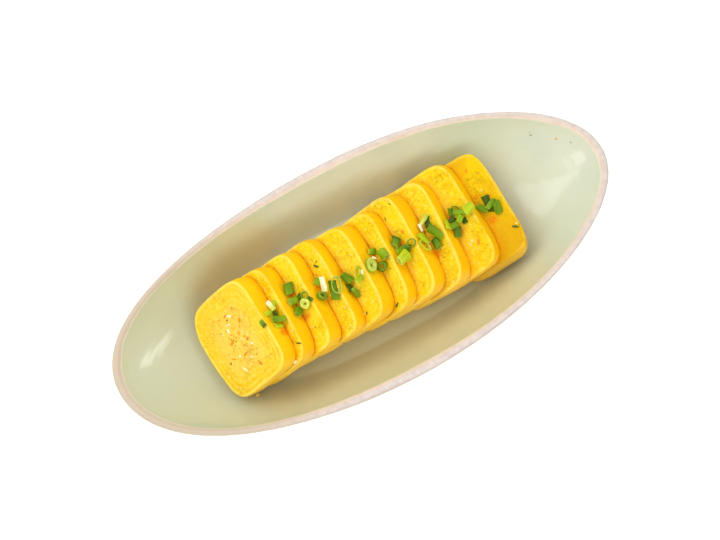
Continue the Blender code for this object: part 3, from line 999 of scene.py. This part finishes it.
def onion_shape(kind, length, width, tones, seed):
    """A piece round its own centre, its length along X, and the numbers that its material reads.

    A point of the wall is (a + d) cos(t), (b + d) sin(t), z, with a and b the oval's outer half axes and
    d the way out from them. The tubes that lie down have their axis turned from Z to X.
    """
    arc, wall, height, flat = ONION_KINDS[kind]
    luck = np.random.default_rng(seed)
    lying = height is None
    half_axis = length / 2 if lying else height / 2
    radii = (width * flat / 2, width / 2) if lying else (length / 2, width / 2)
    closed = arc == 360
    angles = np.radians(np.linspace(arc / 2, -arc / 2, ONION_ROWS, endpoint=not closed))[:, None]
    side, rise = wall_section(half_axis, wall).T
    ribs = np.cos(2 * math.pi * angles * radii[1] / RIB_WIDTH) * RIB_HEIGHT * np.abs(side)
    taper = 1 + luck.uniform(-0.14, 0.14) * rise / half_axis
    out = side * wall / 2 + ribs - wall / 2
    across = (radii[0] * taper + out) * np.cos(angles)
    aside = (radii[1] * taper + out) * np.sin(angles)
    slant = luck.uniform(-0.22, 0.22, 2)
    along = rise + slant[0] * across + slant[1] * aside
    grain = np.stack([across, aside, 0.12 * along], axis=-1) / MM + seed * 7.0
    points = np.stack([-along, aside, across] if lying else [across, aside, along], axis=-1)
    share = np.clip(0.5 + points[..., 0] / length, 0, 1)
    bends = [lumps(points + seed * 9 * MM, 2.6 * MM, seed + way) for way in range(3)]
    points = points + CRUMPLE * np.stack(bends, axis=-1)
    numbers = {"side": np.broadcast_to(side, share.shape), "grain": grain}
    numbers["tone"] = tones[0] + share * (tones[1] - tones[0])
    return points, numbers, closed


# %% [markdown]
# Each piece is lowered onto what lies below it. One ray straight down from each of a few of its points
# finds the surface there, and the smallest gap is how far the whole piece can fall. The slope between
# four more rays tells how the egg is tilted under it, and the piece tilts the same way.

# %% Where the onion lies
ONION = (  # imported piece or 0, along, across, kind, turn from the lens's right, length, width, two tones
    (0, -57.6, 0.8, "leaf", 100, 3.2, 2.8, 1.0, 0.9),
    (2, -61.3, 2.0, "leaf", 18, 4.4, 2.8, 0.3, 0.55),
    (0, -55.9, 6.2, "leaf", 80, 3.6, 2.8, 0.32, 0.4),
    (1, -58.0, 5.8, "strip", -50, 6.6, 3.0, 0.0, 0.26),
    (0, -59.2, -6.6, "leaf", 20, 5.4, 3.0, 0.32, 0.45),
    (3, -57.2, -3.4, "tube", 15, 8.2, 3.6, 0.8, 0.6),
    (0, -66.7, -2.3, "leaf", -40, 4.8, 2.8, 0.7, 1.0),
    (4, -44.2, 10.4, "tube", -75, 6.2, 4.9, 0.9, 0.7),
    (0, -41.0, 3.5, "leaf", 38, 4.6, 3.0, 0.72, 1.0),
    (5, -45.0, 2.8, "tube", 25, 4.9, 3.9, 0.72, 0.66),
    (0, -38.0, 2.2, "hoop", 60, 4.4, 3.6, 0.85, 0.85),
    (0, -35.9, -1.5, "leaf", -30, 3.2, 2.0, 1.0, 0.9),
    (7, -45.3, -4.2, "tube", 60, 4.8, 4.6, 0.76, 0.9),
    (6, -39.8, -2.0, "core", 20, 6.6, 5.8, 0.27, 0.27),
    (0, -27.4, 6.7, "leaf", 70, 4.2, 3.4, 0.62, 0.7),
    (9, -29.2, -2.2, "ring", 20, 6.2, 5.4, 0.82, 0.82),
    (10, -21.7, -2.6, "leaf", -77, 11.0, 4.8, 0.92, 0.76),
    (0, -19.2, -1.0, "hoop", -75, 9.2, 5.2, 0.66, 0.66),
    (8, -25.5, 3.0, "strip", -88, 8.4, 3.7, 0.03, 0.12),
    # a darkest leaf, partly a real dark leaf and partly painted shade in the gap between pieces
    (0, -12.5, -5.4, "leaf", -60, 5.2, 3.2, 1.0, 1.0),
    (11, -11.6, 0.5, "tube", -35, 6.6, 4.2, 0.9, 0.72),
    (13, -11.0, -9.3, "tube", -62, 6.2, 2.7, 0.72, 0.82),
    (12, -5.4, -1.0, "hoop", 85, 8.6, 3.8, 0.5, 0.5),
    (0, -6.2, -4.3, "leaf", 52, 6.2, 2.6, 0.45, 0.55),
    (0, -3.1, -1.5, "strip", 80, 2.8, 1.8, 0.05, 0.12),
    (14, 8.2, 7.8, "leaf", 10, 4.6, 3.4, 0.42, 0.82),
    (17, 9.5, -2.7, "ring", 60, 6.4, 5.6, 1.0, 1.0),
    (15, 13.0, 3.0, "tube", -35, 6.0, 4.9, 0.6, 0.7),
    (16, 3.6, -0.3, "base", 100, 8.2, 7.4, 0.62, 0.62),
    (0, 7.1, 2.8, "strip", 40, 2.4, 2.0, 0.02, 0.06),
    (18, 23.2, 6.4, "tube", 75, 5.2, 4.8, 0.7, 1.0),
    (0, 24.2, 1.2, "leaf", 30, 6.4, 3.4, 0.6, 0.82),
    (0, 27.5, 0.3, "leaf", -10, 4.2, 3.4, 0.85, 0.95),
    (19, 30.4, 1.2, "hoop", 40, 5.0, 4.4, 0.88, 0.88),
    (20, 22.4, -4.4, "tube", 40, 8.2, 6.0, 0.28, 0.34),
    # a darkest leaf, partly a real dark leaf and partly painted shade in the gap between pieces
    (0, 45.5, 9.0, "leaf", -80, 6.2, 2.8, 1.0, 1.0),
    (21, 44.1, 11.2, "leaf", 53, 7.2, 2.9, 0.14, 0.3),
    (22, 45.2, 4.6, "leaf", -70, 5.8, 3.2, 1.0, 1.0),
    (0, 40.3, 7.6, "strip", -60, 4.4, 3.0, 0.0, 0.06),
    (24, 37.0, -3.4, "hoop", -20, 8.2, 5.6, 0.32, 0.32),
    (0, 44.2, -4.6, "tube", -60, 6.2, 4.4, 0.95, 0.85),
    (0, 38.6, 0.5, "leaf", -45, 6.8, 4.6, 0.42, 0.5),
    (23, 46.4, 1.2, "tube", -37, 9.2, 4.6, 0.82, 0.72),
    (25, 61.3, 8.7, "leaf", -80, 4.6, 3.2, 0.8, 0.82),
    (0, 64.0, 8.2, "hoop", -30, 5.6, 3.4, 0.95, 0.95),
    (0, 59.1, 3.6, "leaf", 60, 4.2, 3.6, 1.0, 1.0),
    (0, 65.5, 0.3, "leaf", -60, 3.4, 2.8, 1.0, 1.0),
    (28, 58.9, -3.8, "leaf", -85, 6.2, 4.2, 0.96, 0.9),
    (0, 58.5, 0.4, "leaf", 30, 4.6, 3.4, 0.76, 0.76),
    (27, 63.2, 2.0, "tube", 70, 4.2, 3.6, 0.55, 0.62),
    (0, 65.4, 4.9, "tube", 3, 8.6, 3.2, 0.72, 0.66),
    (26, 70.4, 4.7, "leaf", 40, 6.2, 5.4, 0.3, 0.42),
    (0, 54.9, 2.2, "leaf", 80, 6.6, 3.4, 0.34, 0.45),
    (0, 83.4, -0.5, "leaf", 0, 4.2, 3.2, 1.0, 1.0),
    (29, 78.4, 2.1, "tube", -30, 6.4, 3.4, 0.82, 0.76),
    (30, 83.2, 4.9, "leaf", -70, 6.6, 4.0, 1.0, 0.96),
    (0, 84.2, 2.2, "leaf", 55, 7.0, 2.8, 0.7, 0.76),
    (31, 86.5, -1.4, "leaf", -75, 7.2, 4.4, 0.86, 0.8),
)
ONION_REST = 0.1 * MM  # how far a piece stays clear of what it lies on
ONION_PITCH = 14  # degrees that a lying piece may be raised or lowered at one end
PROBE_REACH = 1.6 * MM  # how far from a piece's middle the rays that feel the slope come down
PROBE_TRUST = 0.7  # the share of that slope which a piece takes up
DROP_HEIGHT = 120 * MM  # above everything, where a piece starts before it is lowered


def tree_of(points, faces):
    """A mesh made ready for rays."""
    return BVHTree.FromPolygons(points.tolist(), faces.tolist())


def node_tree(name):
    """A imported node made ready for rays, in the frame that every piece shares."""
    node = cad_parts[name]
    corners = [node.matrix_world @ vertex.co for vertex in node.data.vertices]
    return BVHTree.FromPolygons(corners, [face.vertices[:] for face in node.data.polygons])


def ground_under(trees, spot):
    """The height of the highest surface straight below a place, or None where there is none."""
    down = Vector((0, 0, -1))
    start = Vector((spot[0], spot[1], 2 * DROP_HEIGHT))
    hits = [tree.ray_cast(start, down)[0] for tree in trees]
    return max((hit.z for hit in hits if hit), default=None)


def lay(points, spot, turn, pitch, trees):
    """Turn a piece, tilt it as the ground under it is tilted, and lower it until it nearly touches."""
    ways = np.array([[1.0, 0.0], [-1.0, 0.0], [0.0, 1.0], [0.0, -1.0]]) * PROBE_REACH
    level = [ground_under(trees, spot + way) for way in ways]
    up = np.array([(level[1] - level[0]) / 2, (level[3] - level[2]) / 2, PROBE_REACH])
    up *= [PROBE_TRUST, PROBE_TRUST, 1.0]
    up /= np.linalg.norm(up)
    heading = math.cos(turn) * right + math.sin(turn) * away
    aside = np.cross(up, heading)
    aside /= np.linalg.norm(aside)
    ahead = np.cross(aside, up)
    nose = math.cos(pitch) * ahead + math.sin(pitch) * up
    turned = points @ np.stack([nose, aside, np.cross(nose, aside)])
    turned += [spot[0], spot[1], DROP_HEIGHT]
    probes = turned[::4, ::3].reshape(-1, 3)
    under = [ground_under(trees, probe) for probe in probes]
    gap = min(probe[2] - height for probe, height in zip(probes, under, strict=True) if height)
    return turned - [0.0, 0.0, gap - ONION_REST]


def weave(grid, closed):
    """Points, quads and triangles of a grid whose rows close on themselves too, or end in poles."""
    if not closed:
        return closed_grid(grid)
    rows, columns = grid.shape[:2]
    quads = grid_faces(rows + 1, columns) % (rows * columns)
    return grid.reshape(-1, 3), quads, np.zeros((0, 3), dtype=int)


def join_parts(parts):
    """Several (points, quads, triangles, numbers) as one set of arrays."""
    points, quads, triangles, numbers = zip(*parts, strict=True)
    starts = np.cumsum([0] + [len(each) for each in points])[:-1]
    quads, triangles = (
        np.vstack([each + start for each, start in zip(faces, starts, strict=True)])
        for faces in (quads, triangles)
    )
    numbers = {name: np.concatenate([each[name] for each in numbers]) for name in numbers[0]}
    return np.vstack(points), quads, triangles, numbers


ground = [node_tree(name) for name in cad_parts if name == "dish" or name.startswith("slice")]
onion_parts = {kind: [] for kind in ONION_KINDS}
onion_nodes = {kind: [] for kind in ONION_KINDS}
for seed, (node, along, across, kind, turn, length, width, *tones) in enumerate(ONION):
    size = ONION_SCALE * np.array([length, width])
    grid, numbers, closed = onion_shape(kind, *size, tones, seed)
    lying = ONION_KINDS[kind][2] is None
    pitch = math.radians(ONION_PITCH * math.sin(seed * 2.4)) if lying else 0.0
    grid = lay(grid, np.array([along, across]) * MM, math.radians(turn), pitch, ground)
    points, quads, triangles = weave(grid, closed)
    if not closed:
        numbers = {name: with_poles(values) for name, values in numbers.items()}
    else:
        numbers = {name: values.reshape(len(points), -1).squeeze() for name, values in numbers.items()}
    ground.append(tree_of(points, quads))
    onion_parts[kind].append((points, quads, triangles, numbers))
    if node:
        onion_nodes[kind].append(f"onion_{node:02d}")
print({kind: len(parts) for kind, parts in onion_parts.items()})

# %% [markdown]
# ## Onion green
#
# One material serves every piece, because white stem, yellow-green and dark leaf are one plant: the
# tone picks the colour. Fine stripes run along the tube, the inside is paler than the outside, and the
# cut ends are paler still.

# %% Onion material
green = Graph("chopped_onion")
side_share = green.attribute("side")
tone = green.attribute("tone")
grain = green.add("ShaderNodeAttribute", {"attribute_name": "grain"}, {}, "Vector")

leaf = green.coats(
    green.mix(tone.between(0.02, 0.2), srgb(247, 238, 200), srgb(214, 220, 96)),
    (tone.between(0.15, 0.34), 184, 198, 8),
    (tone.between(0.36, 0.6), 142, 174, 2),
    (tone.between(0.6, 0.82), 104, 138, 0),
    (tone.between(0.84, 1.0), 66, 92, 0),
)
pale = green.mix(tone.between(0.05, 0.3), srgb(250, 244, 218), srgb(218, 222, 104))
pale = green.coats(pale, (tone.between(0.5, 0.95), 124, 152, 12))
within = 1 - side_share.between(-0.9, 0.0)
ends = 1 - abs(side_share).between(0.45, 0.95)
leaf = green.mix(ends * 0.75, green.mix(within * 0.55, leaf, pale), pale)
stripes = green.noise(grain, 0.45, 2.0)
patches = green.noise(grain, 1.8, 2.0)
light_share = 0.5 + stripes * 0.5 + patches * 0.44
green.finish(
    Base_Color=green.add("ShaderNodeHueSaturation", {}, {"Value": light_share, "Color": leaf}),
    Roughness=0.3 + stripes * 0.16,
    Normal=green.bump(stripes, 0.05 * MM),
    Subsurface_Weight=0.25,
    Subsurface_Radius=(0.9, 1.0, 0.1),
    Subsurface_Scale=0.8 * MM,
    Specular_IOR_Level=0.3,
    IOR=1.4,
)

# %% The onion pieces
for kind, parts in onion_parts.items():
    onion = add_piece(f"onion_{kind}s", *join_parts(parts), green.material)
    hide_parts(*onion_nodes[kind])
    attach(onion, "root")

# %% [markdown]
# ## Bits in the egg
#
# Slivers of white onion, shreds of carrot and flecks of herb were rolled in with the egg. The knife
# laid them open, most of them in the heart of the first slice. They are small uneven grains, sunk
# for more than half of their thickness in the cut face. The larger ones are placed one by one, because
# they are noticed, and the rest are strewn at random, the same at every run. Six crumbs and specks
# fell from the knife, five onto the dish and one onto a slice, and lie on what is straight below them.

# %% Grains
GRAINS = (  # slice, across and up from its middle, turn in degrees, length, width, kind
    (1, 14.0, 3.0, -62, 3.4, 1.3, "onion"),
    (1, 10.3, -0.9, -80, 2.8, 1.0, "onion"),
    (1, 7.5, -3.2, 5, 2.6, 1.4, "onion"),
    (1, -6.8, 7.8, -50, 2.2, 1.5, "onion"),
    (1, -8.3, -5.3, 80, 2.4, 0.9, "onion"),
    (1, -16.0, -7.0, -25, 4.2, 1.3, "onion"),
    (1, -12.5, 2.0, 70, 2.6, 0.8, "onion"),
    (1, 17.0, 8.6, 25, 2.2, 1.0, "carrot"),
    (1, 15.6, 0.5, 80, 2.2, 0.9, "carrot"),
    (1, 8.4, 8.6, 30, 2.2, 1.6, "carrot"),
    (1, -3.0, 6.6, 60, 2.4, 1.6, "carrot"),
    (1, 0.5, -5.2, 75, 2.8, 1.4, "carrot"),
    (1, -9.9, 5.6, -62, 3.0, 0.8, "carrot"),
    (1, -9.3, -0.6, 78, 3.0, 1.1, "carrot"),
    (1, -7.6, -10.4, -55, 3.6, 0.8, "carrot"),
    (1, -18.6, 5.6, -25, 3.8, 1.7, "carrot"),
    (1, -8.5, -14.1, 10, 1.3, 1.0, "herb"),
    (2, -21.1, 21.3, -60, 3.4, 0.9, "herb"),
    (4, 13.7, 17.0, -45, 3.6, 1.2, "herb"),
    (4, 15.6, 18.6, 80, 2.6, 0.5, "herb"),
    (5, -23.6, 10.3, 40, 2.2, 0.9, "herb"),
    (6, -27.0, 12.5, 55, 3.2, 1.1, "herb"),
    (7, 25.6, 20.7, -30, 2.0, 0.8, "herb"),
    (7, 19.8, 13.2, 20, 2.4, 0.7, "herb"),
    (10, -19.8, 20.4, -50, 3.6, 1.2, "herb"),
    (7, 7.8, 19.6, 10, 2.6, 1.8, "carrot"),
    (9, -19.0, 16.6, 25, 3.2, 1.6, "carrot"),
    (9, -16.4, 13.4, 40, 2.0, 0.7, "onion"),
    (9, -17.6, 11.2, -20, 2.4, 0.6, "onion"),
    (10, 23.8, 12.4, 30, 2.4, 1.0, "carrot"),
)
STREWN = (("onion", 0.9, 16), ("carrot", 1.1, 30), ("carrot", 0.7, 70), ("herb", 0.8, 12))
CRUMBS = (  # along, across, turn, length, width, kind of a crumb that fell beside or on the row
    (-87.7, -31.7, 20, 2.6, 2.0, "egg"),
    (-99.0, 37.9, 0, 0.8, 0.7, "egg"),
    (-60.2, -28.3, 30, 2.6, 2.0, "onion"),
    (125.2, 27.8, 0, 0.9, 0.8, "herb"),
    (137.0, 18.7, 40, 1.4, 0.9, "carrot"),
    (143.1, 12.7, 70, 2.0, 0.5, "herb"),
)
GRAIN_SCALE = 1.2 * MM
GRAIN_SINK = 0.1 * MM  # how far a grain's middle lies below the cut face
GRAIN_THICKEST = 1.2 * MM
CRUMB_LIFT = 0.35  # the share of its width by which a crumb's middle lies above the ground
GRAIN_COLOURS = {
    "onion": (252, 240, 190),
    "carrot": (246, 156, 14),
    "herb": (92, 108, 30),
    "egg": (246, 212, 96),
}


def grain_grid(length, width, seed):
    """An ellipsoid along X, x = cos(p), radius = sin(p), whose surface strays by up to a quarter."""
    poles = np.radians(np.linspace(160, 20, 7))[:, None]
    round_it = np.radians(np.arange(12) * 30)
    ball = np.cos(poles) + 0 * round_it, np.sin(poles) * np.cos(round_it), np.sin(poles) * np.sin(round_it)
    ball = np.stack(ball, axis=-1) * [length / 2, width / 2, min(width, GRAIN_THICKEST) / 2]
    return ball * (1 + 0.25 * lumps(ball + seed * 5 * MM, 0.5 * MM, seed))[..., None]


def sink_in_face(number, across_it, up_it, turn, grid):
    """A grain moved to its place on a cut face, turned in the plane of the cut and sunk in it."""
    foot, across, upward, inward = cut_frame(CUTS[number - 1])
    middle = foot + across_it * across + (up_it + SLICE_HEIGHT / 2 + slide_of(number - 1)) * upward
    ahead = math.cos(turn) * across + math.sin(turn) * upward
    aside = np.cross(-inward, ahead)
    return middle + GRAIN_SINK * inward + grid @ np.stack([ahead, aside, -inward])


luck = np.random.default_rng(11)
grains = list(GRAINS)
for kind, size, count in STREWN:
    for place in range(count):
        number = 1 if place % 2 == 0 else int(luck.integers(2, 11))
        if number == 1:
            across_it, up_it = luck.normal((-1, 0), (8, 6))
        else:
            across_it, up_it = luck.uniform((-27, 6), (27, 22))
        length, width = size * luck.uniform((0.8, 0.5), (2.0, 0.8))
        grains.append((number, across_it, up_it, luck.uniform(0, 180), length, width, kind))

grain_parts = {kind: [] for kind in GRAIN_COLOURS}
for seed, (number, across_it, up_it, turn, length, width, kind) in enumerate(grains):
    grid = grain_grid(length * GRAIN_SCALE, width * GRAIN_SCALE, seed)
    grid = sink_in_face(number, across_it * MM, up_it * MM, math.radians(turn), grid)
    points, quads, triangles = closed_grid(grid)
    grain_parts[kind].append((points, quads, triangles, {"shade": np.full(len(points), luck.uniform())}))

for seed, (along, across, turn, length, width, kind) in enumerate(CRUMBS):
    level = ground_under(ground, np.array([along, across]) * MM)
    middle = np.array([along * MM, across * MM, level + CRUMB_LIFT * width * MM])
    turned = Matrix.Rotation(math.radians(turn), 3, "Z")
    grid = grain_grid(length * MM, width * MM, 900 + seed) @ np.array(turned).T + middle
    points, quads, triangles = closed_grid(grid)
    grain_parts[kind].append((points, quads, triangles, {"shade": np.full(len(points), 1.0)}))

for kind, parts in grain_parts.items():
    bit = Graph(f"{kind}_bit")
    colour = GRAIN_COLOURS[kind]
    darker = srgb(*(0.9 * np.array(colour)))
    shade = bit.mix(bit.attribute("shade"), darker, srgb(*colour))
    bit.finish(Base_Color=shade, Roughness=0.5, Specular_IOR_Level=0.25)
    bits = add_piece(f"{kind}_bits", *join_parts(parts), bit.material)
    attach(bits, "root")
